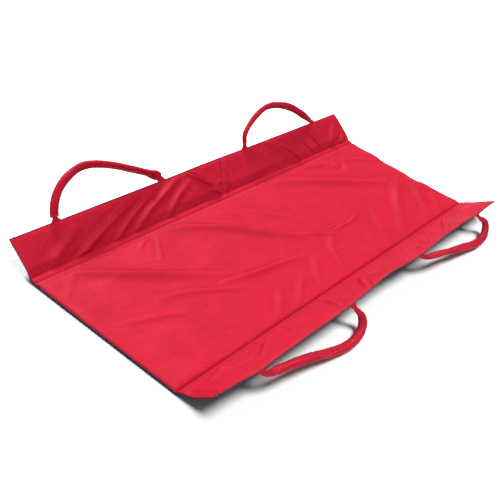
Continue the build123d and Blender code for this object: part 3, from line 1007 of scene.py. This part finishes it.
def make_tabs(side, end, flip):
    """Two flat folded ends, from inside the wing's edge to inside the sleeve, with two rows
    of stitching across each. Their cloth bows and thickens towards the folded sides."""
    line, along, across = handle_curve(side, end)
    total = along[-1]
    out, square = handle_axes(side)
    groups = []
    rows = []
    for last in (False, True):
        t = np.linspace(0.0, 26 * MM, 18)
        where = total - t if last else t
        centre = np.stack([np.interp(where, along, line[:, k]) for k in (0, 1)], -1)
        side_way = np.stack([np.interp(where, along, across[:, k]) for k in (0, 1)], -1)
        # At the edge the tab's width lies along the edge; at the sleeve, across the loop.
        square_on = ease(t / (16 * MM))[:, None]
        side_way = unit(side_way * square_on
                        + np.array([np.sign(side_way[0, 0]), 0.0]) * (1 - square_on))
        angle = np.linspace(0, 2 * math.pi, 20, endpoint=False)[None]
        half = (TAB_WIDTH / 2 - 9.5 * MM * ease((t - 1 * MM) / (15 * MM)))[:, None]
        cosine, sine = np.cos(angle), np.sin(angle)
        a = half * np.sign(cosine) * np.abs(cosine) ** 0.45
        b = (1.7 + 0.5 * cosine ** 4) * MM * np.sign(sine) * np.abs(sine) ** 0.7
        b = b + 1.2 * MM * np.sin(math.pi * np.clip(t / 0.03, 0, 1))[:, None] * (a / half) ** 2
        s = centre[:, 0, None] + side_way[:, 0, None] * a
        h = np.maximum(centre[:, 1, None] + side_way[:, 1, None] * a, 0.0)
        rings = handle_place(side, end, s, h, b, TAB_RISE)
        groups.append(rings[::-1] if last else rings)
        for distance in (4.5 * MM, 8.0 * MM):
            for face in (1, -1):
                k = np.arange(-16 * MM, 16.1 * MM, STITCH_PITCH)
                root = np.interp(total - distance if last else distance, along, line[:, 0])
                centres = handle_place(side, end, root + k, np.full(k.shape, distance),
                                       np.full(k.shape, face * 1.9 * MM), TAB_RISE)
                rows.append((centres, np.tile([1.0, 0.0, 0.0], (len(k), 1)),
                             np.tile(square * face, (len(k), 1))))
    rings = np.array(groups)
    uv = tube_uv(rings.shape[:3], np.linspace(0, 0.04, rings.shape[1]),
                 np.linspace(0, 0.09, rings.shape[2]))
    tabs = tubes(f"{side}_handle_tabs_{end}", rings, uv, SLEEVE_CLOTH, flip=flip)
    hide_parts(f"{side}_handle_tabs_{end}")
    root = handle_place(side, end, np.array([0.0]), np.array([0.0]), np.array([0.0]))[0]
    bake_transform(tabs)
    centres, directions, normals = (np.concatenate(part) for part in zip(*rows))
    stitches = stitch_row(f"{side}_tab_stitches_{end}", centres, directions, normals,
                          f"{side}_wing_{end}")
    # These stitches don't ride on the wing after all: they are unparented and baked where they lie,
    # as the tab is.
    stitches.parent = None
    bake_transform(stitches)


# ---------------------------------------------------------------------------
# The object
# ---------------------------------------------------------------------------

make_centre_cover()
make_centre_foam()
make_centre_base()
for strap in ("centre_straps_foot", "centre_straps_head"):
    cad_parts[strap].data.materials.clear()
    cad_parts[strap].data.materials.append(WEBBING)
make_far_band()
for end_name in ENDS:
    make_near_band(end_name)
    make_stitching(end_name)
    for side_name in SIDES:
        make_wing(side_name, end_name)
for order, (side_name, end_name) in enumerate(HANDLE_LINES):
    make_handle(side_name, end_name, 40 + 7 * order)

# ---------------------------------------------------------------------------
# Stage, light and camera
# ---------------------------------------------------------------------------


def make_stage():
    """Plain white floor, just under the sheet."""
    size = 30.0
    points = np.array([(-size, -size, 0), (size, -size, 0), (size, size, 0), (-size, size, 0)])
    material = bpy.data.materials.new("studio_floor_painted")
    material.use_nodes = True
    shader = material.node_tree.nodes["Principled BSDF"]
    shader.inputs["Base Color"].default_value = colour("fafafa")
    shader.inputs["Roughness"].default_value = 0.9
    shader.inputs["Specular IOR Level"].default_value = 0.1
    floor = make_mesh("floor", points - [0, 0, 0.3 * MM], [np.array([[0, 1, 2, 3]])],
                      points[:, :2], material)


def aim(thing, position, target, roll=0.0):
    """Place a light or camera at a position, looking at a target, turned about its own axis."""
    back = np.array(position, float) - np.array(target, float)
    back /= np.linalg.norm(back)
    right = np.cross([0.0, 0.0, 1.0], back)
    right /= np.linalg.norm(right)
    up = np.cross(back, right)
    turned_right = math.cos(roll) * right + math.sin(roll) * up
    turned_up = math.cos(roll) * up - math.sin(roll) * right
    columns = np.eye(4)
    columns[:3, 0], columns[:3, 1], columns[:3, 2], columns[:3, 3] = (
        turned_right, turned_up, back, position)
    thing.matrix_world = Matrix(columns.tolist())


def make_lights():
    """Broad soft light from almost overhead, a narrower one that rakes across the folds from
    the far side, and a dim even surround."""
    for name, position, spread, power in (("overhead_light", (0.0, -1.3, 4.83), 26.0, 3.1),
                                          ("raking_light", (2.0, 3.1, 3.38), 12.0, 4.0)):
        light = bpy.data.lights.new(name, "SUN")
        light.angle = math.radians(spread)
        light.energy = power
        lamp = bpy.data.objects.new(name, light)
        bpy.context.scene.collection.objects.link(lamp)
        aim(lamp, position, (0.0, 0.0, 0.0))
    world = bpy.data.worlds.new("studio")
    world.use_nodes = True
    world.node_tree.nodes["Background"].inputs["Color"].default_value = colour("ffffff")
    world.node_tree.nodes["Background"].inputs["Strength"].default_value = 0.15
    bpy.context.scene.world = world


def make_camera():
    """Camera beyond the foot end on the near side, 33 degrees above level, turned about its
    own axis."""
    azimuth, elevation, roll = math.radians(-61.66), math.radians(32.6), math.radians(16.82)
    distance = 3.093
    target = np.array([-0.1995, 0.0228, EDGE_HEIGHT])
    back = np.array([math.sin(azimuth) * math.cos(elevation),
                     -math.cos(azimuth) * math.cos(elevation), math.sin(elevation)])
    data = bpy.data.cameras.new("camera")
    data.sensor_width = 36.0
    data.lens = 62.71
    camera = bpy.data.objects.new("camera", data)
    bpy.context.scene.collection.objects.link(camera)
    aim(camera, target + back * distance, target, roll)
    bpy.context.scene.camera = camera


bpy.context.scene.view_settings.view_transform = "Standard"
make_stage()
make_lights()
make_camera()
